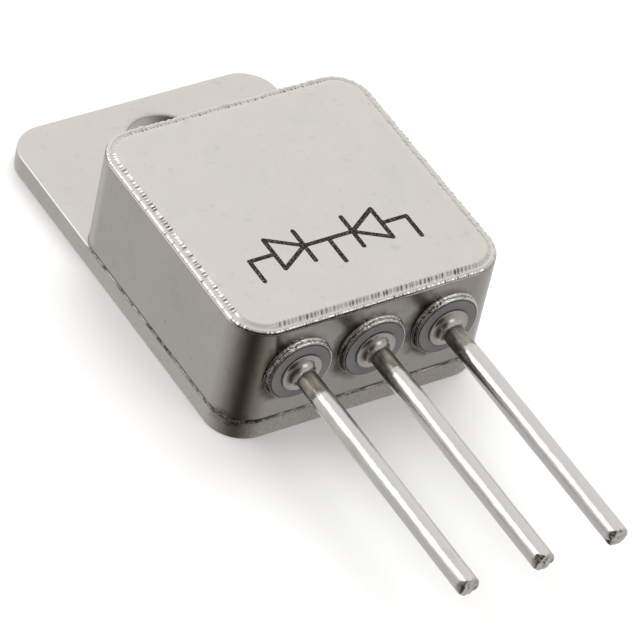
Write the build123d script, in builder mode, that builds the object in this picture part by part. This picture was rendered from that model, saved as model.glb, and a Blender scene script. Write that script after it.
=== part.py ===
from build123d import *
import os

# A dual Schottky rectifier in a hermetic metal power package, lid up.
# Millimetres. The origin is the centre of the mounting hole on the bottom face of the tab,
# +Z points up through the lid, and the leads run towards -Y, side by side along X.

# Mounting tab
tab_width = 13.72
tab_length = 20.32
tab_thickness = 1.03
tab_corner_r = 1.76
tab_edge_break = 0.07
hole_d = 3.66
hole_to_back_edge = 3.05

# Case wall, brazed to the tab
wall_inset = 0.02
case_length = 13.68
case_corner_r = 1.78
case_height = 6.53
wall_thickness = 1.02
wall_braze_thickness = 0.06
wall_braze_inset = 0.07

# Seam-welded lid
lid_flange = 0.25
lid_inset = 0.09
weld_bevel_width = 0.33
weld_bevel_drop = 0.17
lid_step = 0.13
lid_step_clearance = 0.10

# Leads: a bare root, a solder-dipped stretch, and a flat paddle coined at the inner end
lead_count = 3
lead_pitch = 3.81
lead_height = 3.81
lead_root_d = 0.99
lead_dipped_d = 1.03
lead_reach = 14.10
lead_dip_start = 2.00
lead_dip_taper = 0.60
lead_tip_break = 0.14
paddle_gap = 0.30
paddle_length = 1.50
paddle_width = 2.10
paddle_thickness = 0.38

# Ceramic feed-throughs in the front wall
seal_d = 3.00
seal_proud = 0.30
seal_inner_proud = 0.10
ring_wall = 0.12
ring_step = 0.04
eyelet_flange_d = 1.98
eyelet_flange_thickness = 0.10
eyelet_barrel_wall = 0.12
eyelet_rise = 0.50
eyelet_lip = 0.05
eyelet_sag = 0.09

# Insulating substrate and the metal pad on it
substrate_side_gap = 0.32
substrate_back_gap = 0.60
substrate_front_gap = 2.24
substrate_thickness = 0.64
substrate_solder_thickness = 0.05
pad_margin = 0.45
pad_thickness = 0.25

# Two dies, each soldered to a molybdenum tab
die_tab_gap = 0.36
die_tab_back_margin = 0.95
die_tab_thickness = 0.38
die_margin = 0.22
die_thickness = 0.36
solder_thickness = 0.05
solder_margin = 0.05

# Aluminium bond ribbons from each die to its lead
ribbon_count = 2
ribbon_width = 0.75
ribbon_thickness = 0.15
ribbon_foot = 0.70
ribbon_pitch_on_die = 1.60
ribbon_pitch_on_paddle = 0.85
ribbon_die_inset = 0.40
ribbon_paddle_inset = 0.40
ribbon_rise_run = 1.60
ribbon_loop_height = 0.90
ribbon_die_bend_r = 0.45
ribbon_peak_bend_r = 1.00
ribbon_paddle_bend_r = 0.80

# Copper jumper from the pad to the centre lead
jumper_width = 1.30
jumper_thickness = 0.25
jumper_foot = 0.90
jumper_margin = 0.35
jumper_gap = 1.20
jumper_lap = 1.10
jumper_bend_r = 0.40

# Heights of the stack, from the bottom face up
wall_bottom_z = tab_thickness + wall_braze_thickness
wall_top_z = case_height - lid_flange
substrate_z = tab_thickness + substrate_solder_thickness
pad_z = substrate_z + substrate_thickness
tab_solder_z = pad_z + pad_thickness
die_tab_z = tab_solder_z + solder_thickness
die_solder_z = die_tab_z + die_tab_thickness
die_z = die_solder_z + solder_thickness
die_top_z = die_z + die_thickness
paddle_top_z = lead_height + paddle_thickness / 2
paddle_bottom_z = lead_height - paddle_thickness / 2

# Places along Y and across X
tab_front_y = hole_to_back_edge - tab_length
tab_centre_y = hole_to_back_edge - tab_length / 2
case_width = tab_width - 2 * wall_inset
case_front_y = tab_front_y + wall_inset
case_centre_y = case_front_y + case_length / 2
inner_front_y = case_front_y + wall_thickness
inner_width = case_width - 2 * wall_thickness
inner_length = case_length - 2 * wall_thickness
seal_face_y = case_front_y - seal_proud
seal_length = seal_proud + wall_thickness + seal_inner_proud
paddle_front_y = inner_front_y + seal_inner_proud + paddle_gap
paddle_back_y = paddle_front_y + paddle_length
substrate_width = inner_width - 2 * substrate_side_gap
substrate_length = inner_length - substrate_front_gap - substrate_back_gap
substrate_centre_y = inner_front_y + substrate_front_gap + substrate_length / 2
pad_width = substrate_width - 2 * pad_margin
pad_length = substrate_length - 2 * pad_margin
pad_front_y = substrate_centre_y - pad_length / 2
die_tab_width = (pad_width - 3 * die_tab_gap) / 2
die_tab_front_y = pad_front_y + jumper_margin + jumper_foot + jumper_gap
die_tab_length = pad_front_y + pad_length - die_tab_back_margin - die_tab_front_y
die_centre_y = die_tab_front_y + die_tab_length / 2
die_width = die_tab_width - 2 * die_margin
die_length = die_tab_length - 2 * die_margin
ribbon_die_end_y = die_centre_y - die_length / 2 + ribbon_die_inset + ribbon_foot
ribbon_paddle_end_y = paddle_back_y - ribbon_paddle_inset - ribbon_foot
lead_xs = [(i - (lead_count - 1) / 2) * lead_pitch for i in range(lead_count)]
die_x = (die_tab_gap + die_tab_width) / 2
die_xs = [-die_x, die_x]

# Radii about a lead's axis
root_r = lead_root_d / 2
dipped_r = lead_dipped_d / 2
barrel_r = root_r + eyelet_barrel_wall
flange_r = eyelet_flange_d / 2
seal_r = seal_d / 2
ring_r = seal_r + ring_wall

# Places along a lead, out from the ceramic's outer face
lead_start = -seal_length - paddle_gap
dip_start = lead_dip_start - seal_proud
lead_end = lead_reach - seal_proud

pieces = []


def keep(builder, name):
    builder.part.label = name
    pieces.append(builder.part)


# A flat layer of the stack, w by l, centred on x and y, with its underside at z.
def layer(w, l, thickness, x, y, z):
    with BuildPart() as flat:
        with BuildSketch(Plane((x, y, z))):
            Rectangle(w, l)
        extrude(amount=thickness)
    return flat


# The half plane that a lead's round pieces are turned in: its X is the radius about the lead,
# its Y runs out along the lead, and it starts at the outer face of the ceramic.
def turning_plane(x):
    return Plane(origin=(x, seal_face_y, lead_height), x_dir=(1, 0, 0), z_dir=(0, 0, -1))


def lead_axis(x):
    return Axis((x, 0, lead_height), (0, 1, 0))


# The tab is one stamped plate with a plain hole, its upper rim broken by the stamping.
with BuildPart() as base_tab:
    with BuildSketch(Plane.XY):
        with Locations((0, tab_centre_y)):
            RectangleRounded(tab_width, tab_length, tab_corner_r)
        Circle(hole_d / 2, mode=Mode.SUBTRACT)
    extrude(amount=tab_thickness)
    upper_rim = base_tab.faces().sort_by(Axis.Z)[-1].outer_wire().edges()
    chamfer(upper_rim, length=tab_edge_break)
keep(base_tab, "base_tab")

# The braze stops short of the wall's outer face, which leaves the fine groove round its foot.
with BuildPart() as wall_braze:
    with BuildSketch(Plane((0, case_centre_y, tab_thickness))):
        RectangleRounded(case_width, case_length, case_corner_r)
        offset(amount=-wall_braze_inset, mode=Mode.REPLACE)
        offset(amount=wall_braze_inset - wall_thickness, mode=Mode.SUBTRACT)
    extrude(amount=wall_braze_thickness)
keep(wall_braze, "wall_braze")

# The wall is one ring, with a round opening in its front for each feed-through.
with BuildPart() as side_wall:
    with BuildSketch(Plane((0, case_centre_y, wall_bottom_z))):
        RectangleRounded(case_width, case_length, case_corner_r)
        offset(amount=-wall_thickness, mode=Mode.SUBTRACT)
    extrude(amount=wall_top_z - wall_bottom_z)
    opening_plane = Plane((0, case_front_y, lead_height), x_dir=(1, 0, 0), z_dir=(0, -1, 0))
    with BuildSketch(opening_plane):
        with Locations([(x, 0) for x in lead_xs]):
            Circle(ring_r)
    extrude(amount=-case_corner_r, mode=Mode.SUBTRACT)
keep(side_wall, "side_wall")

# The lid lies on the wall and steps down inside it. The seam weld has pressed its rim to a bevel.
with BuildPart() as lid:
    with BuildSketch(Plane((0, case_centre_y, wall_top_z))):
        RectangleRounded(case_width, case_length, case_corner_r)
        offset(amount=-lid_inset, mode=Mode.REPLACE)
    extrude(amount=lid_flange)
    lid_top = lid.faces().sort_by(Axis.Z)[-1]
    chamfer(lid_top.edges(), length=weld_bevel_width, length2=weld_bevel_drop, reference=lid_top)
    with BuildSketch(Plane((0, case_centre_y, wall_top_z))):
        RectangleRounded(case_width, case_length, case_corner_r)
        offset(amount=-wall_thickness - lid_step_clearance, mode=Mode.REPLACE)
    extrude(amount=-lid_step)
keep(lid, "lid")

for number, x in enumerate(lead_xs, start=1):
    # The metal ring that holds the ceramic in the wall stops just short of the ceramic's face.
    with BuildPart() as seal_ring:
        with BuildSketch(turning_plane(x)):
            with Locations((seal_r, -seal_proud - wall_thickness)):
                Rectangle(ring_wall, seal_proud + wall_thickness - ring_step, align=Align.MIN)
        revolve(axis=lead_axis(x))
    keep(seal_ring, f"seal_ring_{number}")

    with BuildPart() as ceramic_seal:
        with BuildSketch(turning_plane(x)):
            with Locations((barrel_r, -seal_length)):
                Rectangle(seal_r - barrel_r, seal_length, align=Align.MIN)
        revolve(axis=lead_axis(x))
    keep(ceramic_seal, f"ceramic_seal_{number}")

    # The eyelet is a sleeve through the ceramic with a round flange that sweeps up to the lead.
    with BuildPart() as lead_eyelet:
        with BuildSketch(turning_plane(x)):
            with BuildLine():
                flange_top = (flange_r, eyelet_flange_thickness)
                lip = (root_r + eyelet_lip, eyelet_rise)
                Polyline(lip, (root_r, eyelet_rise), (root_r, -seal_length), (barrel_r, -seal_length))
                Polyline((barrel_r, -seal_length), (barrel_r, 0), (flange_r, 0), flange_top)
                SagittaArc(flange_top, lip, eyelet_sag)
            make_face()
        revolve(axis=lead_axis(x))
    keep(lead_eyelet, f"lead_eyelet_{number}")

    # The solder dip fades in over a short taper and leaves the outer stretch thicker than the root.
    with BuildPart() as lead:
        with BuildSketch(turning_plane(x)):
            with BuildLine():
                Polyline(
                    (0, lead_start),
                    (root_r, lead_start),
                    (root_r, dip_start),
                    (dipped_r, dip_start + lead_dip_taper),
                    (dipped_r, lead_end - lead_tip_break),
                    (dipped_r - lead_tip_break, lead_end),
                    (0, lead_end),
                    close=True,
                )
            make_face()
        revolve(axis=lead_axis(x))
        with BuildSketch(Plane((x, paddle_front_y, lead_height), x_dir=(1, 0, 0), z_dir=(0, 1, 0))):
            SlotOverall(paddle_width, paddle_thickness)
        extrude(amount=paddle_length)
    keep(lead, f"lead_{number}")

# The substrate keeps the live pad off the tab.
substrate_solder = layer(
    substrate_width, substrate_length, substrate_solder_thickness, 0, substrate_centre_y, tab_thickness
)
keep(substrate_solder, "substrate_solder")
substrate = layer(
    substrate_width, substrate_length, substrate_thickness, 0, substrate_centre_y, substrate_z
)
keep(substrate, "substrate")
cathode_pad = layer(pad_width, pad_length, pad_thickness, 0, substrate_centre_y, pad_z)
keep(cathode_pad, "cathode_pad")

for number, x in enumerate(die_xs, start=1):
    spread = 2 * solder_margin
    tab_solder = layer(
        die_tab_width + spread, die_tab_length + spread, solder_thickness, x, die_centre_y, tab_solder_z
    )
    keep(tab_solder, f"tab_solder_{number}")
    die_tab = layer(die_tab_width, die_tab_length, die_tab_thickness, x, die_centre_y, die_tab_z)
    keep(die_tab, f"die_tab_{number}")
    die_solder = layer(
        die_width + spread, die_length + spread, solder_thickness, x, die_centre_y, die_solder_z
    )
    keep(die_solder, f"die_solder_{number}")
    die = layer(die_width, die_length, die_thickness, x, die_centre_y, die_z)
    keep(die, f"schottky_die_{number}")


# A ribbon is drawn edge-on in the upright plane from its foot on the die to its foot on the paddle.
def bond_ribbon(from_x, to_x):
    start = Vector(from_x, ribbon_die_end_y, 0)
    along = Vector(to_x, ribbon_paddle_end_y, 0) - start
    run = along.length
    die_foot_z = die_top_z + ribbon_thickness / 2
    paddle_foot_z = paddle_top_z + ribbon_thickness / 2
    with BuildPart() as ribbon:
        with BuildSketch(Plane(origin=start, x_dir=along, z_dir=along.cross(Vector(0, 0, 1)))):
            with BuildLine():
                FilletPolyline(
                    (0, die_foot_z),
                    (ribbon_foot, die_foot_z),
                    (ribbon_foot + ribbon_rise_run, paddle_foot_z + ribbon_loop_height),
                    (run - ribbon_foot, paddle_foot_z),
                    (run, paddle_foot_z),
                    radius=[ribbon_die_bend_r, ribbon_peak_bend_r, ribbon_paddle_bend_r],
                )
            trace(line_width=ribbon_thickness)
        extrude(amount=ribbon_width / 2, both=True)
    return ribbon


for die_number, from_x, to_x in ((1, die_xs[0], lead_xs[0]), (2, die_xs[1], lead_xs[-1])):
    for strand in range(ribbon_count):
        step = strand - (ribbon_count - 1) / 2
        anode_ribbon = bond_ribbon(
            from_x + step * ribbon_pitch_on_die, to_x + step * ribbon_pitch_on_paddle
        )
        keep(anode_ribbon, f"anode_ribbon_{die_number}_{strand + 1}")

# The jumper is a bent strip: a foot on the pad, a slope, and a lap under the centre lead's paddle.
with BuildPart() as cathode_jumper:
    with BuildSketch(Plane(origin=(0, 0, 0), x_dir=(0, -1, 0), z_dir=(-1, 0, 0))):
        with BuildLine():
            foot_z = tab_solder_z + jumper_thickness / 2
            lap_z = paddle_bottom_z - jumper_thickness / 2
            foot_front = -pad_front_y - jumper_margin
            lap_back = -paddle_back_y
            FilletPolyline(
                (foot_front - jumper_foot, foot_z),
                (foot_front, foot_z),
                (lap_back, lap_z),
                (lap_back + jumper_lap, lap_z),
                radius=jumper_bend_r,
            )
        trace(line_width=jumper_thickness)
    extrude(amount=jumper_width / 2, both=True)
keep(cathode_jumper, "cathode_jumper")

os.makedirs("parts", exist_ok=True)
for piece in pieces:
    export_step(piece, f"parts/{piece.label}.step")
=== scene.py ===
import math
import random

import bmesh
import bpy
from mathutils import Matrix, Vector, noise


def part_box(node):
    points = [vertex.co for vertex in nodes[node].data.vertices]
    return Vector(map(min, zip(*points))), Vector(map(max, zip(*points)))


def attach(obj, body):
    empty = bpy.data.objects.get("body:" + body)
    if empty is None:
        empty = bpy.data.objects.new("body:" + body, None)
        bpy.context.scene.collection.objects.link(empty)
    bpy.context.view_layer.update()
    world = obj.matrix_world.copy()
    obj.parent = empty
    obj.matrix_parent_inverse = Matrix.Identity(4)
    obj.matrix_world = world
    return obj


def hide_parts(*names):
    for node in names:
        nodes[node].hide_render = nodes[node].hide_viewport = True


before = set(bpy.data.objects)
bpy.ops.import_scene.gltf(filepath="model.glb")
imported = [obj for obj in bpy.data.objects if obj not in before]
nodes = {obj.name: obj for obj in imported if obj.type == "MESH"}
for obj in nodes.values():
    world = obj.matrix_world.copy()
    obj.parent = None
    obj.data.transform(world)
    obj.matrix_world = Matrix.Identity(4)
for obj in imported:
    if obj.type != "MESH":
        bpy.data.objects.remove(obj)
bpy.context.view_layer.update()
mm = 0.001
print("frame loaded:", len(nodes), "nodes")


# Outlines and skins


def clamp(value):
    return min(1, max(0, value))


def leadAxis(number):
    low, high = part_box(f"ceramic_seal_{number}")
    return (low.x + high.x) / 2, (low.z + high.z) / 2


def circleAngles(steps):
    return [2 * math.pi * step / steps for step in range(steps)]


def roundedPath(halfX, halfY, radius, centreY, sideStep, cornerSteps):
    # points along a rounded rectangle, counter-clockwise from its back right corner
    points = []
    travelled = 0.0
    corners = [(1, 1, 0), (-1, 1, 90), (-1, -1, 180), (1, -1, 270)]
    for index, (signX, signY, startAngle) in enumerate(corners):
        cornerX = signX * (halfX - radius)
        cornerY = centreY + signY * (halfY - radius)
        for step in range(cornerSteps + 1):
            share = step / cornerSteps
            angle = math.radians(startAngle + 90 * share)
            nx, ny = math.cos(angle), math.sin(angle)
            points.append({"x": cornerX + radius * nx, "y": cornerY + radius * ny, "nx": nx, "ny": ny,
                           "s": travelled + radius * math.pi / 2 * share,
                           "corner": math.sin(math.pi * share), "index": index})
        travelled += radius * math.pi / 2
        sideLength = 2 * (halfX if index % 2 == 0 else halfY) - 2 * radius
        start = points[-1]
        count = max(1, round(sideLength / sideStep))
        for step in range(1, count):
            along = sideLength * step / count
            points.append({"x": start["x"] - start["ny"] * along, "y": start["y"] + start["nx"] * along,
                           "nx": start["nx"], "ny": start["ny"], "s": travelled + along,
                           "corner": 0.0, "index": index})
        travelled += sideLength
    return points


def sootAndShadeLayer(bm):
    # 0 is clean metal, 1 fully darkened: weld and braze soot, and painted shade in crevices, joints and on
    #                                     hidden faces
    return bm.verts.layers.float.get("sootAndShade") or bm.verts.layers.float.new("sootAndShade")


def addRing(bm, path, inset, z, sootAndShade=0.0):
    layer = sootAndShadeLayer(bm)
    ring = []
    for p in path:
        vert = bm.verts.new((p["x"] - p["nx"] * inset, p["y"] - p["ny"] * inset, z))
        vert[layer] = sootAndShade
        ring.append(vert)
    return ring


# the weld filled the seam under the lid on the left, the right and towards the right of the front
seamFill = {"leftPower": 6, "frontMiddle": 0.35, "frontReach": 4 * mm, "most": 0.95}


def seamOpen(p):
    filled = max(0, -p["nx"]) ** seamFill["leftPower"] + max(0, p["nx"])
    filled += max(0, -p["ny"]) * clamp(seamFill["frontMiddle"] + p["x"] / seamFill["frontReach"])
    return 1 - seamFill["most"] * min(1, filled)


def skinRings(bm, rings, material=0):
    for lower, upper in zip(rings[:-1], rings[1:]):
        count = len(lower)
        for i in range(count):
            j = (i + 1) % count
            face = bm.faces.new((lower[i], lower[j], upper[j], upper[i]))
            face.material_index = material


def closePrism(bm, first, second):
    skinRings(bm, [first, second])
    bm.faces.new(first)
    bm.faces.new(second[::-1])


def fillBetween(bm, rings):
    edges = []
    for ring in rings:
        for i, vert in enumerate(ring):
            pair = (vert, ring[(i + 1) % len(ring)])
            edges.append(bm.edges.get(pair) or bm.edges.new(pair))
    bmesh.ops.triangle_fill(bm, use_beauty=True, use_dissolve=False, edges=edges)


def roundOver(radius, depth, steps):
    # insets and rises of a rounded edge, from the flank to the flat face
    arc = []
    for step in range(steps + 1):
        angle = math.pi / 2 * step / steps
        arc.append((radius * (1 - math.cos(angle)), depth * math.sin(angle)))
    return arc


def roundedFoot(z, radius, steps):
    # inset and height of the rings from the underside up to the flank
    return [(inset, z + radius - rise) for inset, rise in roundOver(radius, radius, steps)][::-1]


def roundedRim(z, radius, depth, steps):
    # inset and height of the rings from the flank up to the top
    return [(inset, z - depth + rise) for inset, rise in roundOver(radius, depth, steps)]


def meshObject(bm, name):
    mesh = bpy.data.meshes.new(name)
    bm.to_mesh(mesh)
    bm.free()
    holder = bpy.data.objects.new(name, mesh)
    bpy.context.scene.collection.objects.link(holder)
    return holder


def looseSolid(bm, name):
    bmesh.ops.recalc_face_normals(bm, faces=bm.faces)
    return meshObject(bm, name)


def finishPiece(bm, name, materials, replaced, sharpAngle=35):
    piece = looseSolid(bm, name)
    mesh = piece.data
    for material in materials:
        mesh.materials.append(material)
    mesh.polygons.foreach_set("use_smooth", [True] * len(mesh.polygons))
    mesh.set_sharp_from_angle(angle=math.radians(sharpAngle))
    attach(piece, "root")
    if replaced:
        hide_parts(*replaced)
    return piece


def weighNormals(piece):
    weighted = piece.modifiers.new("weighted", "WEIGHTED_NORMAL")
    weighted.keep_sharp = True
    weighted.weight = 90
    return piece


def applyModifiers(piece):
    bpy.context.view_layer.update()
    graph = bpy.context.evaluated_depsgraph_get()
    result = bpy.data.meshes.new_from_object(piece.evaluated_get(graph), depsgraph=graph)
    piece.modifiers.clear()
    old = piece.data
    piece.data = result
    bpy.data.meshes.remove(old)
    result.name = piece.name


def combine(piece, others, operation):
    for other in others:
        step = piece.modifiers.new("combine", "BOOLEAN")
        step.operation = operation
        step.solver = "EXACT"
        step.object = other
    applyModifiers(piece)
    for other in others:
        bpy.data.objects.remove(other)


def wander(x, y, z, size):
    return noise.noise(Vector((x, y, z)) / size)


# Materials


def newMaterial(name):
    material = bpy.data.materials.new(name)
    material.use_nodes = True
    tree = material.node_tree
    tree.nodes.clear()
    output = tree.nodes.new("ShaderNodeOutputMaterial")
    shader = tree.nodes.new("ShaderNodeBsdfPrincipled")
    tree.links.new(shader.outputs["BSDF"], output.inputs["Surface"])
    return material, tree, shader


def objectNoise(tree, size, detail=3.0, roughness=0.5, stretch=(1, 1, 1)):
    coordinates = tree.nodes.new("ShaderNodeTexCoord")
    mapping = tree.nodes.new("ShaderNodeMapping")
    mapping.inputs["Scale"].default_value = [s / size for s in stretch]
    texture = tree.nodes.new("ShaderNodeTexNoise")
    texture.inputs["Scale"].default_value = 1.0
    texture.inputs["Detail"].default_value = detail
    texture.inputs["Roughness"].default_value = roughness
    tree.links.new(coordinates.outputs["Object"], mapping.inputs["Vector"])
    tree.links.new(mapping.outputs["Vector"], texture.inputs["Vector"])
    return texture.outputs["Fac"]


def colourRamp(tree, factor, stops):
    ramp = tree.nodes.new("ShaderNodeValToRGB")
    elements = ramp.color_ramp.elements
    while len(elements) < len(stops):
        elements.new(0.5)
    for element, (position, colour) in zip(elements, stops):
        element.position = position
        element.color = (*colour, 1)
    tree.links.new(factor, ramp.inputs["Fac"])
    return ramp.outputs["Color"]


def rangeMap(tree, value, fromLow, fromHigh, toLow, toHigh, smooth=False):
    node = tree.nodes.new("ShaderNodeMapRange")
    node.interpolation_type = "SMOOTHSTEP" if smooth else "LINEAR"
    ends = {"From Min": fromLow, "From Max": fromHigh, "To Min": toLow, "To Max": toHigh}
    for name, number in ends.items():
        node.inputs[name].default_value = number
    tree.links.new(value, node.inputs["Value"])
    return node.outputs["Result"]


def spreadNoise(tree, value, toLow, toHigh):
    # nearly all of a noise lies between 0.3 and 0.7
    return rangeMap(tree, value, 0.3, 0.7, toLow, toHigh)


def objectPlace(tree):
    coordinates = tree.nodes.new("ShaderNodeTexCoord")
    split = tree.nodes.new("ShaderNodeSeparateXYZ")
    tree.links.new(coordinates.outputs["Object"], split.inputs["Vector"])
    return split.outputs


def arithmetic(tree, operation, first, second):
    node = tree.nodes.new("ShaderNodeMath")
    node.operation = operation
    for socket, source in zip(node.inputs, (first, second)):
        if isinstance(source, (int, float)):
            socket.default_value = source
        else:
            tree.links.new(source, socket)
    return node.outputs["Value"]


def mixColours(tree, factor, first, second):
    node = tree.nodes.new("ShaderNodeMix")
    node.data_type = "RGBA"
    tree.links.new(factor, node.inputs["Factor"])
    for socket, source in ((node.inputs["A"], first), (node.inputs["B"], second)):
        if isinstance(source, tuple):
            socket.default_value = (*source, 1)
        else:
            tree.links.new(source, socket)
    return node.outputs["Result"]


def addBump(tree, shader, height, distance):
    bump = tree.nodes.new("ShaderNodeBump")
    bump.inputs["Distance"].default_value = distance
    tree.links.new(height, bump.inputs["Height"])
    previous = shader.inputs["Normal"].links
    if previous:
        tree.links.new(previous[0].from_socket, bump.inputs["Normal"])
    tree.links.new(bump.outputs["Normal"], shader.inputs["Normal"])


def scaled(colour, factor):
    return tuple(c * factor for c in colour)


def tinted(colour, tint):
    return tuple(c * t for c, t in zip(colour, tint))


# reads the share of soot and painted shade, broken up into patches
def sootAndShadeFactor(tree):
    attribute = tree.nodes.new("ShaderNodeAttribute")
    attribute.attribute_name = "sootAndShade"
    patches = spreadNoise(tree, objectNoise(tree, 0.12 * mm, 2), 0.6, 1.15)
    return arithmetic(tree, "MULTIPLY", attribute.outputs["Fac"], patches)


sealRow = {
    "pitch": leadAxis(2)[0] - leadAxis(1)[0],
    "height": leadAxis(2)[1],
    "front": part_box("side_wall")[0].y + 0.03 * mm,
    "frontFade": 0.10 * mm,
    "end": 5.1 * mm,
    "endFade": 0.6 * mm,
    "raggedSize": 0.5 * mm,
    "ragged": 0.15 * mm,
}


def sealShadeMask(tree, look):
    # painted shade and painted reflection darken the wall beside each seal, most of all on its left, with
    # some heat tint of brazing
    place = objectPlace(tree)
    leanX, leanZ = (lean * mm for lean in look["lean"])
    fold = tree.nodes.new("ShaderNodeMath")  # the seals stand in a row, so one pattern repeats along x
    fold.operation = "WRAP"
    tree.links.new(arithmetic(tree, "SUBTRACT", place["X"], leanX), fold.inputs[0])
    fold.inputs[1].default_value = sealRow["pitch"] / 2
    fold.inputs[2].default_value = -sealRow["pitch"] / 2
    centre = tree.nodes.new("ShaderNodeCombineXYZ")
    tree.links.new(fold.outputs["Value"], centre.inputs["X"])
    tree.links.new(arithmetic(tree, "SUBTRACT", place["Z"], sealRow["height"] + leanZ), centre.inputs["Z"])
    distance = tree.nodes.new("ShaderNodeVectorMath")
    distance.operation = "LENGTH"
    tree.links.new(centre.outputs["Vector"], distance.inputs[0])
    uneven = objectNoise(tree, sealRow["raggedSize"], 4, 0.6)
    ragged = spreadNoise(tree, uneven, -sealRow["ragged"], sealRow["ragged"])
    reach = arithmetic(tree, "ADD", distance.outputs["Value"], ragged)
    halo = rangeMap(tree, reach, look["outer"] * mm, look["inner"] * mm, look["haze"], look["strength"], True)
    front, end = sealRow["front"], sealRow["end"]
    onFront = rangeMap(tree, place["Y"], front + sealRow["frontFade"], front, 0, 1, True)
    inRow = rangeMap(tree, place["X"], end, end + sealRow["endFade"], 1, 0)
    return arithmetic(tree, "MULTIPLY", halo, arithmetic(tree, "MULTIPLY", onFront, inRow))


# the colour that soot and painted shade darken towards
sootAndShadeColour = (0.045, 0.036, 0.028)
platingTints = {"warm": (1.005, 1.0, 0.975), "pink": (1.01, 0.985, 0.99), "fleck": 0.55}


def platedMetal(name, look):
    # every size in a look is in millimetres
    material, tree, shader = newMaterial(name)
    shader.inputs["Metallic"].default_value = 1.0
    tone, depth, sootAndShade = look["colour"], look["stainDepth"], look.get("sootAndShade", sootAndShadeColour)
    stains = objectNoise(tree, look["stainSize"] * mm, 4, 0.55)
    colour = colourRamp(tree, stains, [
        (0.30, scaled(tinted(tone, platingTints["warm"]), 1 - depth)), (0.45, tone),
        (0.55, tinted(tone, platingTints["pink"])), (0.70, scaled(tone, 1 + depth / 2)),
    ])
    if "flecks" in look:
        size, strength = look["flecks"]
        flecks = rangeMap(tree, objectNoise(tree, size * mm, 2, 0.5), 0.62, 0.74, 0, strength)
        colour = mixColours(tree, flecks, colour, scaled(tone, platingTints["fleck"]))
    # painted shade and reflection beside the seals
    if "sealShade" in look:
        colour = mixColours(tree, sealShadeMask(tree, look["sealShade"]), colour, sootAndShade)
    sootAndShadeShare = sootAndShadeFactor(tree)
    tree.links.new(mixColours(tree, sootAndShadeShare, colour, sootAndShade), shader.inputs["Base Color"])
    rough = spreadNoise(tree, objectNoise(tree, look["roughSize"] * mm, 5, 0.6), *look["roughness"])
    tree.links.new(arithmetic(tree, "ADD", rough, arithmetic(tree, "MULTIPLY", sootAndShadeShare, 0.25)),
                   shader.inputs["Roughness"])
    for size, bumpDepth in look["bumps"]:
        addBump(tree, shader, objectNoise(tree, size * mm, 3, 0.55), bumpDepth * mm)
    return material


platings = {
    "tab": {
        "colour": (0.665, 0.645, 0.607), "stainSize": 4.0, "stainDepth": 0.04, "sootAndShade": (0.10, 0.085, 0.07),
        "roughness": (0.28, 0.40), "roughSize": 2.0, "bumps": [(0.12, 0.0012), (1.6, 0.006)],
        "flecks": (0.45, 0.18),
    },
    # the wall is the same nickel plating as the lid and the tab; its darker colour is painted shade
    "wall": {
        "colour": (0.470, 0.453, 0.424), "stainSize": 3.0, "stainDepth": 0.07,
        "roughness": (0.20, 0.28), "roughSize": 1.5, "bumps": [(0.10, 0.0012), (0.45, 0.0030), (1.3, 0.016)],
        "flecks": (0.40, 0.25),
        "sealShade": {"lean": (-0.40, 0.14), "inner": 1.45, "outer": 2.10, "strength": 0.88, "haze": 0.16},
    },
    "lid": {
        "colour": (0.678, 0.660, 0.618), "stainSize": 3.4, "stainDepth": 0.04,
        "roughness": (0.30, 0.40), "roughSize": 1.8, "bumps": [(0.09, 0.0010), (1.8, 0.006)],
        "flecks": (0.40, 0.17),
    },
    "weld": {
        "colour": (0.680, 0.650, 0.610), "stainSize": 0.5, "stainDepth": 0.08,
        "roughness": (0.14, 0.26), "roughSize": 0.3, "bumps": [(0.06, 0.003)],
    },
    "braze": {
        "colour": (0.420, 0.400, 0.370), "stainSize": 0.8, "stainDepth": 0.15,
        "roughness": (0.25, 0.40), "roughSize": 0.4, "bumps": [(0.06, 0.003)],
    },
    "ring": {
        "colour": (0.720, 0.700, 0.665), "stainSize": 0.4, "stainDepth": 0.10,
        "roughness": (0.14, 0.26), "roughSize": 0.3, "bumps": [(0.05, 0.004)],
        "sealShade": {"lean": (-0.50, -0.20), "inner": 1.10, "outer": 1.60, "strength": 0.70, "haze": 0.0},
    },
    "eyelet": {
        "colour": (0.500, 0.480, 0.455), "stainSize": 0.8, "stainDepth": 0.05,
        "roughness": (0.22, 0.30), "roughSize": 0.5, "bumps": [(0.4, 0.002)],
    },
}
finishes = {name: platedMetal(name + "Plating", look) for name, look in platings.items()}


def leadFinish(look):
    material, tree, shader = newMaterial("leadFinish")
    shader.inputs["Metallic"].default_value = 1.0
    ragged = spreadNoise(tree, objectNoise(tree, 0.5 * mm, 2), -look["dipRagged"], look["dipRagged"])
    along = arithmetic(tree, "ADD", objectPlace(tree)["Y"], ragged)
    line, blur = look["dipLine"], look["dipBlur"]
    dipped = rangeMap(tree, along, line - blur, line + blur, 1, 0)
    solder, root = look["solder"], look["root"]
    stains = objectNoise(tree, look["stainSize"], 4, 0.6, (1, 0.4, 1))
    bright = colourRamp(tree, stains, [(0.0, solder), (0.62, solder), (0.74, look["stained"])])
    smoke = objectNoise(tree, look["smokeSize"], 3, 0.6, (1, 0.3, 1))
    bare = colourRamp(tree, smoke, [(0.35, scaled(root, 0.5)), (0.62, scaled(root, 1.25))])
    colour = mixColours(tree, dipped, bare, bright)
    tree.links.new(mixColours(tree, sootAndShadeFactor(tree), colour, sootAndShadeColour), shader.inputs["Base Color"])
    streaks = objectNoise(tree, look["streakSize"], 3, 0.6, (1, 0.10, 1))
    smoothness = spreadNoise(tree, streaks, *look["roughness"])
    dull = arithmetic(tree, "MULTIPLY", arithmetic(tree, "SUBTRACT", 1, dipped), look["rootRoughness"])
    tree.links.new(arithmetic(tree, "MAXIMUM", smoothness, dull), shader.inputs["Roughness"])
    addBump(tree, shader, streaks, look["streakDepth"])
    lumps = objectNoise(tree, look["lumpSize"], 3, 0.6, (1, 0.5, 1))
    addBump(tree, shader, lumps, look["lumpDepth"])
    return material


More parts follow.
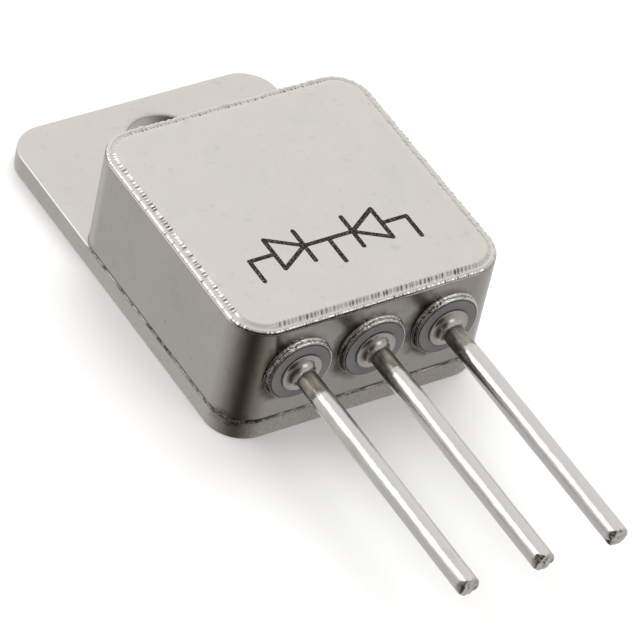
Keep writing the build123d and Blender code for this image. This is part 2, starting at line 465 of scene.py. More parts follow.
def plainGrain(name, look):
    material, tree, shader = newMaterial(name)
    shader.inputs["Metallic"].default_value = look["metallic"]
    speckle = objectNoise(tree, look["grain"] * mm, 4, 0.6)
    spread = look["spread"]
    colour = colourRamp(tree, speckle, [
        (0.3, scaled(look["colour"], 1 - spread)), (0.7, scaled(look["colour"], 1 + spread)),
    ])
    tree.links.new(mixColours(tree, sootAndShadeFactor(tree), colour, scaled(look["colour"], 0.2)),
                   shader.inputs["Base Color"])
    tree.links.new(spreadNoise(tree, speckle, *look["roughness"]), shader.inputs["Roughness"])
    addBump(tree, shader, speckle, look["relief"] * mm)
    return material


grains = {
    "ceramic": {"colour": (0.165, 0.163, 0.166), "roughness": (0.45, 0.58), "metallic": 0.0,
                "grain": 0.06, "relief": 0.0015, "spread": 0.08},
    "alumina": {"colour": (0.80, 0.80, 0.77), "roughness": (0.45, 0.60), "metallic": 0.0,
                "grain": 0.08, "relief": 0.0015, "spread": 0.04},
    "copper": {"colour": (0.78, 0.42, 0.27), "roughness": (0.25, 0.40), "metallic": 1.0,
               "grain": 0.30, "relief": 0.0020, "spread": 0.10},
    "solder": {"colour": (0.55, 0.55, 0.54), "roughness": (0.30, 0.45), "metallic": 1.0,
               "grain": 0.15, "relief": 0.0040, "spread": 0.12},
    "molybdenum": {"colour": (0.45, 0.45, 0.46), "roughness": (0.35, 0.50), "metallic": 1.0,
                   "grain": 0.10, "relief": 0.0010, "spread": 0.10},
    "silicon": {"colour": (0.24, 0.25, 0.27), "roughness": (0.12, 0.20), "metallic": 0.9,
                "grain": 0.50, "relief": 0.0005, "spread": 0.05},
    "aluminium": {"colour": (0.82, 0.82, 0.82), "roughness": (0.30, 0.42), "metallic": 1.0,
                  "grain": 0.08, "relief": 0.0010, "spread": 0.06},
}
for name, look in grains.items():
    finishes[name] = plainGrain(name + "Finish", look)
print("finishes made:", len(finishes))


# Mounting tab

tab = {
    "cornerRadius": 1.76 * mm,
    "cornerSteps": 32,
    "sideStep": 0.12 * mm,
    "rimRadius": 0.10 * mm,
    "rimDepth": 0.09 * mm,
    "rimFlat": 0.06 * mm,
    "footRadius": 0.05 * mm,
    "flankDrops": (0.45 * mm, 0.24 * mm),
    "flankShade": 0.22,
    "stainStart": 1.1 * mm,
    "stainFade": 0.3 * mm,
    "stainSize": 0.5 * mm,
    "rimStain": (0.72, 0.6),
    "cornerShade": (0.8, 2.0),
    "holeRadius": 1.83 * mm,
    "holeRimRadius": 0.16 * mm,
    "holeRimDepth": 0.10 * mm,
    "holeFootRadius": 0.04 * mm,
    "arcSteps": 6,
    "holeSteps": 160,
}


def brazeStainAndCornerShade(p, onRim):
    # brazing left its flux along the rim beside the case, and the front left corner carries painted shade
    corner = p["corner"] if p["index"] == 2 else 0
    even, patchy = tab["rimStain"] if onRim else tab["cornerShade"]
    stain = even + patchy * wander(p["x"], p["y"], 2, tab["stainSize"])
    return clamp(stain + corner if onRim else corner * stain)


def makeTab():
    low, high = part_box("base_tab")
    centreY = (low.y + high.y) / 2
    path = roundedPath(high.x, (high.y - low.y) / 2, tab["cornerRadius"], centreY, tab["sideStep"],
                       tab["cornerSteps"])
    bm = bmesh.new()
    layer = sootAndShadeLayer(bm)
    foot = roundedFoot(low.z, tab["footRadius"], 4)
    flank = [(0, high.z - drop) for drop in tab["flankDrops"]]
    rim = roundedRim(high.z, tab["rimRadius"], tab["rimDepth"], tab["arcSteps"])
    flat = [(tab["rimRadius"] + tab["rimFlat"], high.z)]
    outer = [addRing(bm, path, inset, z) for inset, z in foot + flank + rim + flat]
    # painted shade on the tab's flanks, twice as dark on the front flank
    for ring in outer[:len(foot + flank) + 1]:
        for vert, p in zip(ring, path):
            vert[layer] = tab["flankShade"] * (1 + max(0, -p["ny"]))
    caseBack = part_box("side_wall")[1].y - tab["stainStart"]
    for step, ring in enumerate(outer[len(foot) + 1:-1]):
        for vert, p in zip(ring, path):
            if p["y"] < caseBack:
                reached = min(1, (caseBack - p["y"]) / tab["stainFade"])
                vert[layer] = max(vert[layer], brazeStainAndCornerShade(p, step > 1) * reached)
    skinRings(bm, outer)
    circle = [{"x": tab["holeRadius"] * math.cos(a), "y": tab["holeRadius"] * math.sin(a),
               "nx": math.cos(a), "ny": math.sin(a)} for a in circleAngles(tab["holeSteps"])]
    holeFoot = roundedFoot(low.z, tab["holeFootRadius"], 3)
    holeRim = roundedRim(high.z, tab["holeRimRadius"], tab["holeRimDepth"], tab["arcSteps"])
    inner = [addRing(bm, circle, -inset, z) for inset, z in holeFoot + holeRim]
    skinRings(bm, inner)
    fillBetween(bm, [outer[0], inner[0]])
    fillBetween(bm, [outer[-1], inner[-1]])
    piece = finishPiece(bm, "mountingTab", [finishes["tab"]], ["base_tab"])
    applyModifiers(weighNormals(piece))


makeTab()
print("mounting tab made")

# Wall of the case, with its three openings

wall = {
    "cornerRadius": 1.78 * mm,
    "cornerSteps": 40,
    "sideStep": 0.5 * mm,
    "thickness": 1.02 * mm,
    "footRadius": 0.06 * mm,
    "footSootAndShade": 0.6,
    "footRises": (0.14 * mm, 0.45 * mm),
    "topDrop": 0.10 * mm,
    "topRadius": 0.05 * mm,
    "topShade": (0.3, 0.7),
    "cornerShade": (0.6, 1.5),
    "stainSize": 0.5 * mm,
    "openingRadius": 1.62 * mm,
    "openingSteps": 128,
    "cutterReach": (-1.0 * mm, 1.9 * mm),
}


def makeOpeningCutter(number, faceY):
    x, z = leadAxis(number)
    radius = wall["openingRadius"]
    bm = bmesh.new()
    loops = [[bm.verts.new((x + radius * math.cos(a), faceY + reach, z + radius * math.sin(a)))
              for a in circleAngles(wall["openingSteps"])]
             for reach in wall["cutterReach"]]
    closePrism(bm, *loops)
    return looseSolid(bm, "openingCutter")


def makeWall():
    low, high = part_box("side_wall")
    centreY = (low.y + high.y) / 2
    path = roundedPath(high.x, (high.y - low.y) / 2, wall["cornerRadius"], centreY, wall["sideStep"],
                       wall["cornerSteps"])
    bm = bmesh.new()
    # the foot carries braze soot and painted shade where it meets the tab; the rounded top under the lid's
    # bead and the inside carry painted shade
    foot = [(inset, z, wall["footSootAndShade"]) for inset, z in roundedFoot(low.z, wall["footRadius"], 4)]
    side = [(0, low.z + rise, 0) for rise in wall["footRises"]] + [(0, high.z - wall["topDrop"], 0)]
    topShadeStart, topShadeRise = wall["topShade"]
    top = [(inset, high.z - wall["topRadius"] + rise, topShadeStart + topShadeRise * rise / wall["topRadius"])
           for inset, rise in roundOver(wall["topRadius"], wall["topRadius"], 4)]
    inside = [(wall["thickness"], high.z, 1), (wall["thickness"], low.z, 1)]
    rings = [addRing(bm, path, inset, z, sootAndShade) for inset, z, sootAndShade in foot + side + top + inside]
    layer = sootAndShadeLayer(bm)
    even, patchy = wall["cornerShade"]
    for vert, p in zip(rings[len(foot)], path):
        if p["index"] == 2:  # the front left corner is painted darker above the braze: painted shade
            vert[layer] = p["corner"] * clamp(even + patchy * wander(p["x"], p["y"], 6, wall["stainSize"]))
    for ring in rings[len(foot + side):-2]:
        for vert, p in zip(ring, path):
            vert[layer] *= seamOpen(p)
    skinRings(bm, rings + rings[:1])
    piece = finishPiece(bm, "caseWall", [finishes["wall"]], ["side_wall"])
    combine(piece, [makeOpeningCutter(number, low.y) for number in (1, 2, 3)], "DIFFERENCE")
    applyModifiers(weighNormals(piece))


makeWall()
print("case wall made")

# Braze line between tab and wall

braze = {
    "inset": 0.020 * mm,
    "hollow": 0.090 * mm,
    "fillet": 0.06 * mm,
    "filletTurn": 0.25,
    "reach": 0.05 * mm,
    "rough": 0.03 * mm,
    "roughSize": 0.30 * mm,
    "dashes": (0.55, 1.6),
    "dashSize": 0.45 * mm,
    "innerInset": 0.02 * mm,
    "rows": 6,
    "sideStep": 0.06 * mm,
    "cornerSteps": 56,
}


def makeBraze():
    low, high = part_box("wall_braze")
    wallLow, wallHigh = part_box("side_wall")
    centreY = (low.y + high.y) / 2
    path = roundedPath(wallHigh.x, (wallHigh.y - wallLow.y) / 2, wall["cornerRadius"], centreY,
                       braze["sideStep"], braze["cornerSteps"])
    even, patchy = braze["dashes"]
    bm = bmesh.new()
    layer = sootAndShadeLayer(bm)
    rings = []
    for row in range(braze["rows"] + 1):
        share = row / braze["rows"]
        z = low.z - braze["reach"] + (high.z - low.z + 2 * braze["reach"]) * share
        ring = []
        for p in path:
            dashes = clamp(even + patchy * wander(p["x"], p["y"], 4, braze["dashSize"]))
            inset = braze["inset"] + braze["hollow"] * dashes * math.sin(math.pi * share)
            inset += braze["rough"] * wander(p["x"], p["y"], z, braze["roughSize"])
            proud = clamp(p["ny"] / braze["filletTurn"])  # at the back it shows as a bright fillet
            inset += (braze["fillet"] * (share - 1) - inset) * proud
            vert = bm.verts.new((p["x"] - p["nx"] * inset, p["y"] - p["ny"] * inset, z))
            # darkened in broken dashes, most in the middle of the hollow: a dark braze joint with painted
            # shade in its hollow
            vert[layer] = dashes * math.sin(math.pi * share) * (1 - proud)
            ring.append(vert)
        rings.append(ring)
    for z in (high.z, low.z):
        rings.append(addRing(bm, path, wall["thickness"] + braze["innerInset"], z, 1))
    skinRings(bm, rings + rings[:1])
    finishPiece(bm, "wallBraze", [finishes["braze"]], ["wall_braze"])


makeBraze()
print("braze line made")

# Lid with the roller marks of its seam weld

lid = {
    "cornerRadius": 1.69 * mm,
    "cornerSteps": 60,
    "sideStep": 0.03 * mm,
    "topDrop": 0.004 * mm,
    "flange": 0.25 * mm,
    "step": 1.03 * mm,
    "stepDrop": 0.13 * mm,
    "seamDrop": 0.18,
    "filledInset": -0.03,
    "markPitch": 0.195 * mm,
    "markWidth": 0.042 * mm,
    "markDepth": 0.042 * mm,
    "markOut": 0.45,
    "markDown": 0.9,
    "markLean": 0.35,
    "markMiddle": 0.25,
    "markStray": 0.045,
    "markDepths": (0.35, 1.25),
    "markWidths": (0.7, 1.3),
    "beadRough": 0.032 * mm,
    "beadSizes": (0.10 * mm, 0.28 * mm),
    "beadCoarse": 0.7,
    "beadUp": 0.8,
    "leftCalm": 0.35,
    "pitting": 0.020 * mm,
    "pittingSize": 0.13 * mm,
    "pittingDrop": 0.05,
    "cornerFades": (0.6, 0.5, 1.0, 0.7),
    "seed": 7,
}
# in millimetres the inset from the rim and the drop from the top, then from 0 to 1 the share of the roller
# marks, the share of the bead's lumps, and the darkening, which is painted shade in the crease above the bead
# and under the bead
lidProfile = [
    (0.650, 0.000, 0.00, 0.0, 0.0),
    (0.430, 0.000, 0.00, 0.0, 0.0),
    (0.395, 0.002, 0.25, 0.0, 0.0),
    (0.365, 0.010, 0.70, 0.0, 0.0),
    (0.335, 0.024, 1.00, 0.0, 0.0),
    (0.305, 0.042, 1.00, 0.0, 0.0),
    (0.275, 0.060, 1.00, 0.0, 0.0),
    (0.245, 0.078, 1.00, 0.0, 0.0),
    (0.215, 0.093, 0.90, 0.1, 0.0),
    (0.190, 0.103, 0.60, 0.2, 0.1),
    (0.165, 0.108, 0.30, 0.4, 0.2),
    (0.140, 0.100, 0.10, 0.7, 0.1),
    (0.110, 0.091, 0.00, 1.0, 0.0),
    (0.075, 0.093, 0.00, 1.0, 0.0),
    (0.040, 0.106, 0.00, 1.0, 0.0),
    (0.005, 0.127, 0.00, 1.0, 0.0),
    (-0.025, 0.150, 0.00, 1.0, 0.0),
    (-0.045, 0.172, 0.00, 1.0, 0.0),
    (-0.050, 0.195, 0.00, 0.8, 0.4),
    (-0.030, 0.215, 0.00, 0.4, 1.0),
    (0.020, 0.232, 0.00, 0.0, 1.0),
    (0.070, 0.250, 0.00, 0.0, 1.0),
]


def rollerMarks(length):
    random.seed(lid["seed"])
    marks = []
    place = 0.0
    while place < length + lid["markPitch"]:
        stray = random.uniform(-lid["markStray"], lid["markStray"]) * mm
        marks.append((place + stray, random.uniform(*lid["markDepths"]), random.uniform(*lid["markWidths"])))
        place += lid["markPitch"]
    return marks


def markGroove(p, inset, marks):
    # the roller's marks lie at a slant and fade in the corners
    nearest = min(len(marks) - 1, max(0, round(p["s"] / lid["markPitch"])))
    centre, deep, wide = marks[nearest]
    fade = 1 - lid["cornerFades"][p["index"]] * min(1, 2.2 * p["corner"])
    off = p["s"] - centre - lid["markLean"] * (inset - lid["markMiddle"]) * mm
    return math.exp(-(off / (lid["markWidth"] * wide)) ** 2) * deep * fade


def beadBulge(p, inset, drop, beadShare):
    x, y = p["x"], p["y"]
    fineSize, coarseSize = lid["beadSizes"]
    lump = wander(x, y, 0, fineSize) + lid["beadCoarse"] * wander(x, y, 5, coarseSize)
    bulge = lid["beadRough"] * lump * beadShare * (1 - lid["leftCalm"] * max(0, -p["nx"]))
    if p["index"] == 3 and inset > 0:  # the front right corner is pitted
        share = min(1, 2.5 * p["corner"]) * min(1, drop / lid["pittingDrop"])
        bulge += lid["pitting"] * wander(x, y, 9, lid["pittingSize"]) * share
    return bulge


def makeLid():
    low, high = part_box("lid")
    centreY = (low.y + high.y) / 2
    path = roundedPath(high.x, (high.y - low.y) / 2, lid["cornerRadius"], centreY, lid["sideStep"],
                       lid["cornerSteps"])
    marks = rollerMarks(path[-1]["s"])
    bm = bmesh.new()
    layer = sootAndShadeLayer(bm)
    rings = []
    for inset, drop, markShare, beadShare, sootAndShade in lidProfile:
        ring = []
        for p in path:
            groove = markGroove(p, inset, marks)
            bulge = beadBulge(p, inset, drop, beadShare)
            seam = seamOpen(p)
            reach = inset
            if drop > lid["seamDrop"]:
                reach += (1 - seam) * (lid["filledInset"] - inset)
            down = lid["markDepth"] * groove * markShare
            out = -reach * mm + bulge - down * lid["markOut"]
            z = high.z - lid["topDrop"] - drop * mm + bulge * lid["beadUp"] - down * lid["markDown"]
            vert = bm.verts.new((p["x"] + p["nx"] * out, p["y"] + p["ny"] * out, z))
            # the grooves are darkened, more along the front and back than along the sides: weld oxide with
            # painted shade
            vert[layer] = max(sootAndShade * seam, (0.5 + 0.5 * abs(p["ny"])) * groove * markShare)
            ring.append(vert)
        rings.append(ring)
    skinRings(bm, rings, 1)
    bm.faces.new(rings[0])
    flange = high.z - lid["flange"]
    under = [addRing(bm, path, lid["step"], z, 1) for z in (flange, flange - lid["stepDrop"])]
    skinRings(bm, rings[-1:] + under)
    bm.faces.new(under[-1])
    bmesh.ops.triangulate(bm, faces=[f for f in bm.faces if len(f.verts) > 4])
    finishPiece(bm, "weldedLid", [finishes["lid"], finishes["weld"]], ["lid"], 60)


makeLid()
print("lid made")

# Two diodes burnt into the lid by laser, joined at their cathodes

mark = {
    "centreX": -0.21 * mm,
    "lineY": -13.05 * mm,
    "strokeWidth": 0.225 * mm,
    "sink": 0.02 * mm,
    "apex": 1.25 * mm,
    "triangleLength": 1.53 * mm,
    "triangleHalf": 0.96 * mm,
    "barHalf": 0.98 * mm,
    "end": 4.06 * mm,
    "endDrop": 1.32 * mm,
    "middleDrop": 1.50 * mm,
    "capSteps": 8,
    "burnt": (0.018, 0.013, 0.010),
    "speckle": (0.30, 0.27, 0.23),
}


def markFinish(look):
    material, tree, shader = newMaterial("markFinish")
    shader.inputs["Metallic"].default_value = 0.5
    shader.inputs["Roughness"].default_value = 0.6
    shader.inputs["Specular IOR Level"].default_value = 0.2
    pits = objectNoise(tree, 0.075 * mm, 3, 0.6)
    tree.links.new(colourRamp(tree, pits, [(0.53, look["burnt"]), (0.68, look["speckle"])]),
                   shader.inputs["Base Color"])
    addBump(tree, shader, pits, 0.004 * mm)
    return material


def markStrokes():
    cx, y = mark["centreX"], mark["lineY"]
    strokes = [[(cx - mark["apex"], y), (cx + mark["apex"], y)], [(cx, y), (cx, y - mark["middleDrop"])]]
    for side in (-1, 1):
        apex = cx + side * mark["apex"]
        base = apex + side * mark["triangleLength"]
        upper, lower = y + mark["triangleHalf"], y - mark["triangleHalf"]
        strokes += [[(apex, y), (base, upper)], [(base, upper), (base, lower)], [(base, lower), (apex, y)],
                    [(apex, y + mark["barHalf"]), (apex, y - mark["barHalf"])]]
        outer = cx + side * mark["end"]
        strokes += [[(base, y), (outer, y)], [(outer, y), (outer, y - mark["endDrop"])]]
    return strokes


def strokeSolid(bm, start, end, top):
    half = mark["strokeWidth"] / 2
    a, b = Vector((*start, top)), Vector((*end, top))
    along = (b - a).normalized()
    across = Vector((-along.y, along.x, 0))
    outline = []
    for centre, turn in ((b, -90), (a, 90)):
        for step in range(mark["capSteps"] + 1):
            angle = math.radians(turn + 180 * step / mark["capSteps"])
            outline.append(centre + half * (along * math.cos(angle) + across * math.sin(angle)))
    sink = Vector((0, 0, -mark["sink"]))
    upper = [bm.verts.new(p) for p in outline]
    lower = [bm.verts.new(p + sink) for p in outline]
    closePrism(bm, upper, lower)


def makeMark():
    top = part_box("lid")[1].z
    solids = []
    for start, end in markStrokes():
        bm = bmesh.new()
        strokeSolid(bm, start, end, top)
        solids.append(bm)
    piece = finishPiece(solids[0], "circuitMark", [markFinish(mark)], [])
    combine(piece, [looseSolid(bm, "stroke") for bm in solids[1:]], "UNION")


makeMark()
print("circuit mark made")

# Feed-throughs: ring, ceramic, eyelet and lead, all turned about the lead


def turned(name, number, profile, steps, finish, node, shape=None):
    # a profile point is radius, y and its share of soot and painted shade, the latter in joints between the
    # parts and on hidden faces
    x, z = leadAxis(number)
    bm = bmesh.new()
    layer = sootAndShadeLayer(bm)
    rings = []
    for radius, y, sootAndShade in profile:
        if radius < 1e-7:
            rings.append([bm.verts.new((x, y, z))])
            continue
        ring = []
        for angle in circleAngles(steps):
            out, along = shape(radius, y, angle, number) if shape else (radius, y)
            vert = bm.verts.new((x + out * math.cos(angle), along, z + out * math.sin(angle)))
            vert[layer] = sootAndShade
            ring.append(vert)
        rings.append(ring)
    for lower, upper in zip(rings[:-1], rings[1:]):
        if len(lower) == 1 or len(upper) == 1:
            hub, ring = (lower[0], upper) if len(lower) == 1 else (upper[0], lower)
            for i in range(steps):
                bm.faces.new((hub, ring[i], ring[(i + 1) % steps]))
        else:
            skinRings(bm, [lower, upper])
    bmesh.ops.remove_doubles(bm, verts=bm.verts, dist=1e-8)  # a closed profile ends where it starts
    return finishPiece(bm, f"{name}{number}", [finishes[finish]], [f"{node}_{number}"], 40)


seal = {
    "steps": 128,
    "ringOuter": 1.62 * mm,
    "ringInner": 1.50 * mm,
    "ringStep": 0.04 * mm,
    "ringEdge": 0.085 * mm,
    "ringLip": 0.035 * mm,
    "ringRipple": 0.030 * mm,
    "rippleSizes": (0.085 * mm, 0.35 * mm),
    "ringSteps": 288,
    "fillet": 0.10 * mm,
    "filletSteps": 6,
    "trumpetSteps": 20,
    "ceramicEdge": 0.03 * mm,
    "boreRadius": 0.615 * mm,
    "flangeRadius": 0.99 * mm,
    "flangeThickness": 0.10 * mm,
    "flangeEdge": 0.03 * mm,
    "flat": 0.05 * mm,
    "rise": 0.50 * mm,
    "lip": 0.012 * mm,
    "rootRadius": 0.495 * mm,
}


def ringShape(radius, y, angle, number):
    # braze ran over the ring and left it lumpy
    if radius < seal["ringInner"] + 0.03 * mm:
        return radius, y
    place = math.cos(angle) * radius, math.sin(angle) * radius, y + number * 3 * mm
    fine, broad = (wander(*place, size) for size in seal["rippleSizes"])
    return radius + seal["ringRipple"] * (1.2 * fine + 0.6 * broad), y + 0.4 * seal["ringRipple"] * fine


def makeRing(number, faceY, wallY, backY):
    front = faceY + seal["ringStep"]
    edge, fillet = seal["ringEdge"], seal["fillet"]
    outer, inner = seal["ringOuter"], seal["ringInner"]
    profile = [(inner, backY, 1), (inner, front + 0.02 * mm, 1), (inner + 0.015 * mm, front + 0.004 * mm, 1),
               (inner + seal["ringLip"], front, 0), (outer - edge, front, 0)]
    profile += [(outer - inset, front + edge - rise, 0) for inset, rise in roundOver(edge, edge, 4)[::-1][1:]]
    # the fillet darkens towards the wall: painted shade where the ring meets the wall
    for step in range(seal["filletSteps"] + 1):
        share = step / seal["filletSteps"]
        angle = math.pi / 2 * share
        profile.append((outer + fillet * (1 - math.cos(angle)), wallY - fillet * (1 - math.sin(angle)),
                        0.8 * share ** 5))
    profile += [(outer, wallY + 0.02 * mm, 1), (outer, backY, 1), (inner, backY, 1)]
    turned("sealRing", number, profile, seal["ringSteps"], "ring", "seal_ring", ringShape)


def makeCeramic(number, faceY, backY):
    edge = seal["ceramicEdge"]
    outer, bore, flange = seal["ringInner"], seal["boreRadius"], seal["flangeRadius"]
    # the ceramic darkens into its joints with the eyelet and the ring and in its bore: painted shade
    profile = [(bore, backY, 1), (bore, faceY, 1), (flange + 0.005 * mm, faceY, 1),
               (flange + 0.04 * mm, faceY, 0), (outer - edge - 0.02 * mm, faceY, 0),
               (outer - edge, faceY, 0.4), (outer - 0.3 * edge, faceY + 0.3 * edge, 0.8),
               (outer, faceY + edge, 1), (outer, backY, 1), (bore, backY, 1)]
    turned("ceramicSeal", number, profile, seal["steps"], "ceramic", "ceramic_seal")


def makeEyelet(number, faceY, backY):
    edge, flange, root = seal["flangeEdge"], seal["flangeRadius"], seal["rootRadius"]
    top = faceY - seal["flangeThickness"]
    lipY = faceY - seal["rise"]
    profile = [(root, backY, 1), (seal["boreRadius"], backY, 1), (seal["boreRadius"], faceY, 1),
               (flange - edge, faceY, 1), (flange, faceY - edge, 0.5), (flange, top + edge, 0),
               (flange - 0.3 * edge, top + 0.3 * edge, 0), (flange - edge, top, 0)]
    wide, narrow = flange - edge - seal["flat"], root + seal["lip"]
    # a trumpet: flat on the flange, straight along the lead
    for advance, shrink in roundOver(top - lipY, wide - narrow, seal["trumpetSteps"]):
        profile.append((wide - shrink, top - advance, 0))
    profile += [(root, lipY - 0.004 * mm, 0.4), (root, backY, 1)]
    turned("leadEyelet", number, profile, seal["steps"], "eyelet", "lead_eyelet")


lead = {
    "rootRadius": 0.495 * mm,
    "dippedRadius": 0.515 * mm,
    "dipStart": 2.00 * mm,
    "dipTaper": 0.30 * mm,
    "dipRagged": 0.15 * mm,
    "dipBlur": 0.06 * mm,
    "tipRound": 0.12 * mm,
    "rings": 90,
    "steps": 72,
    "paddleLength": 1.50 * mm,
    "paddleWidth": 2.10 * mm,
    "paddleThickness": 0.38 * mm,
    "paddleSteps": 16,
    "wavy": 0.010 * mm,
    "cutAngles": (168, 161, 174),
    "cutStart": 0.64,
    "cutDepth": 0.60 * mm,
    "cutRough": 0.07 * mm,
    "cutSlant": 0.08 * mm,
    "cutReach": 0.80 * mm,
    "cutSizes": (0.22 * mm, 0.25 * mm),
    "solder": (0.64, 0.63, 0.61),
    "stained": (0.58, 0.52, 0.40),
    "stainSize": 1.6 * mm,
    "root": (0.38, 0.345, 0.30),
    "smokeSize": 0.3 * mm,
    "roughness": (0.17, 0.30),
    "rootRoughness": 0.32,
    "streakSize": 0.30 * mm,
    "streakDepth": 0.010 * mm,
    "lumpSize": 0.45 * mm,
    "lumpDepth": 0.018 * mm,
}


def leadShape(radius, y, angle, number):
    # the solder is a little uneven, and the tip was sheared off at a slant and left lumpy
    fromTip = (y - lead["tips"][number]) / lead["cutReach"]
    if fromTip < 1:
        facing = math.cos(angle - math.radians(lead["cutAngles"][number - 1])) * radius / lead["rootRadius"]
        across, up = math.cos(angle) * radius, math.sin(angle) * radius
        faceNoise, edgeNoise = (wander(across, up, number * mm, size) for size in lead["cutSizes"])
        edge = facing - lead["cutStart"] + 0.35 * edgeNoise
        cut = lead["cutDepth"] * max(0, edge) + lead["cutRough"] * max(0, 0.35 + faceNoise)
        cut += lead["cutSlant"] * (1 - up / lead["dippedRadius"]) / 2
        y += cut * (1 - fromTip)
    if radius < 0.3 * mm:
        return radius, y
    wave = wander(math.cos(angle), math.sin(angle), number * 7 + y / mm * 0.6, 0.8)
    return radius + lead["wavy"] * wave * min(1.0, radius / lead["rootRadius"]), y


def makePaddle(number, nearY, farY):
    # the flat that the ribbons are bonded to, coined from the lead's inner end
    x, z = leadAxis(number)
    radius = lead["paddleThickness"] / 2
    reach = lead["paddleWidth"] / 2 - radius
    outline = []
    for side, start in ((1, -90), (-1, 90)):
        for step in range(lead["paddleSteps"] + 1):
            angle = math.radians(start + 180 * step / lead["paddleSteps"])
            outline.append((x + side * reach + radius * math.cos(angle), z + radius * math.sin(angle)))
    bm = bmesh.new()
    loops = [[bm.verts.new((across, y, up)) for across, up in outline] for y in (nearY, farY)]
    closePrism(bm, *loops)
    return looseSolid(bm, "paddle")


def makeLead(number, wallY, lipY):
    low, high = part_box(f"lead_{number}")
    tip, inner = low.y, high.y - lead["paddleLength"]
    dip = wallY - lead["dipStart"]
    root = lead["rootRadius"]
    profile = [(0, inner, 1), (root, inner, 1), (root, lipY, 1), (root, lipY - 0.06 * mm, 0.4),
               (root, lipY - 0.15 * mm, 0), (root, dip + 0.06 * mm, 0)]
    for step in range(1, 5):
        share = step / 4
        grow = (lead["dippedRadius"] - root) * math.sin(math.pi / 2 * share)
        profile.append((root + grow, dip - lead["dipTaper"] * share, 0))
    start, end = dip - lead["dipTaper"], tip + lead["tipRound"]
    for step in range(1, lead["rings"] + 1):
        profile.append((lead["dippedRadius"], start + (end - start) * step / lead["rings"], 0))
    for inset, rise in roundOver(lead["tipRound"], lead["tipRound"], 8)[1:]:
        profile.append((lead["dippedRadius"] - inset, end - rise * 0.98, 0))
    profile += [(step * 0.05 * mm, end - lead["tipRound"] * 0.99, 0) for step in range(6, -1, -1)]
    piece = turned("lead", number, profile, lead["steps"], "lead", "lead", leadShape)
    combine(piece, [makePaddle(number, inner - 0.01 * mm, high.y)], "UNION")


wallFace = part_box("side_wall")[0].y
lead["dipLine"] = wallFace - lead["dipStart"]
lead["tips"] = {number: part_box(f"lead_{number}")[0].y for number in (1, 2, 3)}
finishes["lead"] = leadFinish(lead)
for number in (1, 2, 3):
    low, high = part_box(f"ceramic_seal_{number}")
    makeRing(number, low.y, wallFace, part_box(f"seal_ring_{number}")[1].y)
    makeCeramic(number, low.y, high.y)
    makeEyelet(number, low.y, high.y)
    makeLead(number, wallFace, low.y - seal["rise"])
print("feed-throughs made")

# Inner pieces keep their CAD solids

innerFinishes = {
    "substrate_solder": "solder", "substrate": "alumina", "cathode_pad": "copper", "cathode_jumper": "copper",
    "tab_solder": "solder", "die_tab": "molybdenum", "die_solder": "solder", "schottky_die": "silicon",
    "anode_ribbon": "aluminium",
}
for nodeName, node in nodes.items():
    stem = max((s for s in innerFinishes if nodeName.startswith(s)), key=len, default=None)
    if stem:
        node.data.materials.clear()
        node.data.materials.append(finishes[innerFinishes[stem]])
print("inner pieces finished")

# Studio: white floor, pale room that is dark on the camera's side, and four soft lamps

studio = {
    "floorColour": (0.95, 0.95, 0.945),
    "floorHalf": 1.5,
    "floorDrop": 0.02 * mm,
    "floorGlow": 0.08,
    "roomColour": (1.0, 0.995, 0.985),
    "roomLow": 0.62,
    "roomGain": 0.45,
    "roomBright": (0.30, 0.90, 0.30),
    "darkAzimuth": 230,
    "darkEdges": (0.0, 1.0),
    "darkSharpness": 2.1,
    "darkTop": (0.60, 0.95),
    "darkDepth": 0.94,
    "darkColour": (1.07, 0.93, 0.76),
    "lamps": {
        "backLeftSoftbox": {"azimuth": 137, "elevation": 39, "distance": 0.25, "size": 0.15,
                            "radiance": 1.3, "inReflections": True},
        "overheadPanel": {"azimuth": 50, "elevation": 55, "distance": 0.40, "size": 0.30,
                          "radiance": 2.0, "inReflections": False},
        "frontFill": {"azimuth": 262, "elevation": 38, "distance": 0.40, "size": 0.30,
                      "radiance": 1.5, "inReflections": False},
        "frontRightLamp": {"azimuth": 297, "elevation": 43, "distance": 0.28, "size": 0.15,
                           "radiance": 1.2, "inReflections": True},
    },
    "lampTarget": (0, -0.012, 0.003),
}


def showsBackground(tree):
    # 1 for what the camera sees directly, in a reflection or through glass
    path = tree.nodes.new("ShaderNodeLightPath")
    shown = arithmetic(tree, "MAXIMUM", path.outputs["Is Camera Ray"], path.outputs["Is Glossy Ray"])
    return arithmetic(tree, "MAXIMUM", shown, path.outputs["Is Transmission Ray"])


def makeFloor():
    bm = bmesh.new()
    half = studio["floorHalf"]
    corners = ((-half, -half), (half, -half), (half, half), (-half, half))
    bm.faces.new([bm.verts.new((x, y, -studio["floorDrop"])) for x, y in corners])
    floor = meshObject(bm, "floor")
    material, tree, shader = newMaterial("floorPaper")
    shader.inputs["Base Color"].default_value = (*studio["floorColour"], 1)
    shader.inputs["Roughness"].default_value = 1.0
    shader.inputs["Specular IOR Level"].default_value = 0.0
    shader.inputs["Emission Color"].default_value = (1, 1, 1, 1)
    tree.links.new(arithmetic(tree, "MULTIPLY", showsBackground(tree), studio["floorGlow"]),
                   shader.inputs["Emission Strength"])
    floor.data.materials.append(material)
    floor.visible_glossy = False


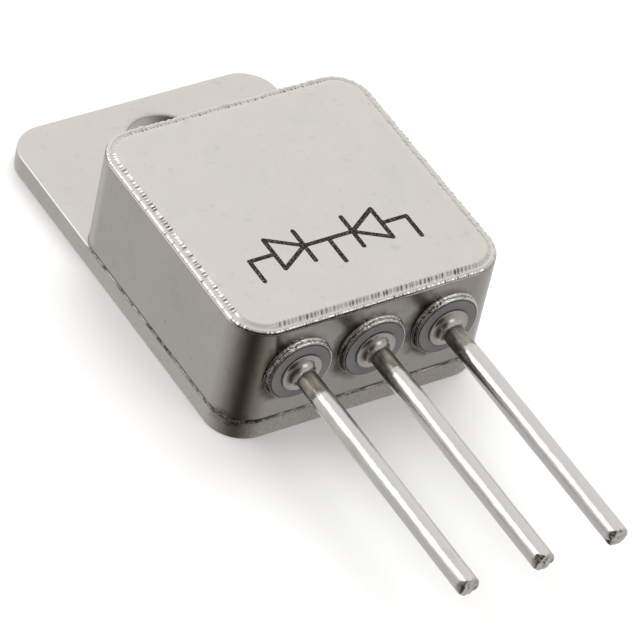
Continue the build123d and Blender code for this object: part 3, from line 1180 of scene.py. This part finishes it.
def makeWorld():
    world = bpy.data.worlds.new("studioWorld")
    bpy.context.scene.world = world
    world.use_nodes = True
    tree = world.node_tree
    background = tree.nodes["Background"]
    direction = tree.nodes.new("ShaderNodeTexCoord").outputs["Generated"]
    parts = tree.nodes.new("ShaderNodeSeparateXYZ")
    tree.links.new(direction, parts.inputs["Vector"])

    def dotWith(vector, fixed):
        dot = tree.nodes.new("ShaderNodeVectorMath")
        dot.operation = "DOT_PRODUCT"
        tree.links.new(vector, dot.inputs[0])
        dot.inputs[1].default_value = fixed
        return dot.outputs["Value"]

    level = tree.nodes.new("ShaderNodeCombineXYZ")
    tree.links.new(parts.outputs["X"], level.inputs["X"])
    tree.links.new(parts.outputs["Y"], level.inputs["Y"])
    flat = tree.nodes.new("ShaderNodeVectorMath")
    flat.operation = "NORMALIZE"
    tree.links.new(level.outputs["Vector"], flat.inputs[0])
    azimuth = math.radians(studio["darkAzimuth"])
    towardsDark = dotWith(flat.outputs["Vector"], (math.cos(azimuth), math.sin(azimuth), 0))
    lobe = arithmetic(tree, "POWER", rangeMap(tree, towardsDark, *studio["darkEdges"], 0, 1),
                      studio["darkSharpness"])
    dark = arithmetic(tree, "MULTIPLY", arithmetic(tree, "MULTIPLY", lobe, studio["darkDepth"]),
                      rangeMap(tree, parts.outputs["Z"], *studio["darkTop"], 1, 0, True))
    towardsBright = dotWith(direction, Vector(studio["roomBright"]).normalized())
    glow = arithmetic(tree, "MULTIPLY", arithmetic(tree, "MAXIMUM", towardsBright, 0), studio["roomGain"])
    room = arithmetic(tree, "MULTIPLY", arithmetic(tree, "ADD", glow, studio["roomLow"]),
                      arithmetic(tree, "SUBTRACT", 1, dark))
    # plain white where the camera looks past the floor
    seen = tree.nodes.new("ShaderNodeLightPath").outputs["Is Camera Ray"]
    unseen = arithmetic(tree, "SUBTRACT", 1, seen)
    strength = arithmetic(tree, "ADD", arithmetic(tree, "MULTIPLY", room, unseen), seen)
    tint = mixColours(tree, arithmetic(tree, "MULTIPLY", dark, unseen), studio["roomColour"],
                      studio["darkColour"])
    tree.links.new(tint, background.inputs["Color"])
    tree.links.new(strength, background.inputs["Strength"])


def makeLamp(name, look):
    lamp = bpy.data.lights.new(name, "AREA")
    lamp.shape = "SQUARE"
    lamp.size = look["size"]
    lamp.energy = look["radiance"] * math.pi * look["size"] ** 2
    azimuth, elevation = math.radians(look["azimuth"]), math.radians(look["elevation"])
    direction = Vector((math.cos(azimuth) * math.cos(elevation), math.sin(azimuth) * math.cos(elevation),
                        math.sin(elevation)))
    holder = bpy.data.objects.new(name, lamp)
    holder.location = Vector(studio["lampTarget"]) + direction * look["distance"]
    holder.rotation_euler = direction.to_track_quat("Z", "Y").to_euler()
    holder.visible_glossy = look["inReflections"]
    bpy.context.scene.collection.objects.link(holder)


makeFloor()
makeWorld()
for name, look in studio["lamps"].items():
    makeLamp(name, look)
print("studio made")

# Camera

view = {
    "place": (-0.10912698, -0.14183393, 0.15770303),
    "turn": (46.4707, -9.6273, -31.3493),
    "lens": 292.016,
    "sensor": 36.0,
}
cameraData = bpy.data.cameras.new("camera")
cameraData.lens = view["lens"]
cameraData.sensor_width = view["sensor"]
cameraData.clip_start = 0.01
cameraData.clip_end = 10.0
camera = bpy.data.objects.new("camera", cameraData)
camera.location = view["place"]
camera.rotation_euler = [math.radians(angle) for angle in view["turn"]]
bpy.context.scene.collection.objects.link(camera)
bpy.context.scene.camera = camera
bpy.context.scene.view_settings.view_transform = "Standard"
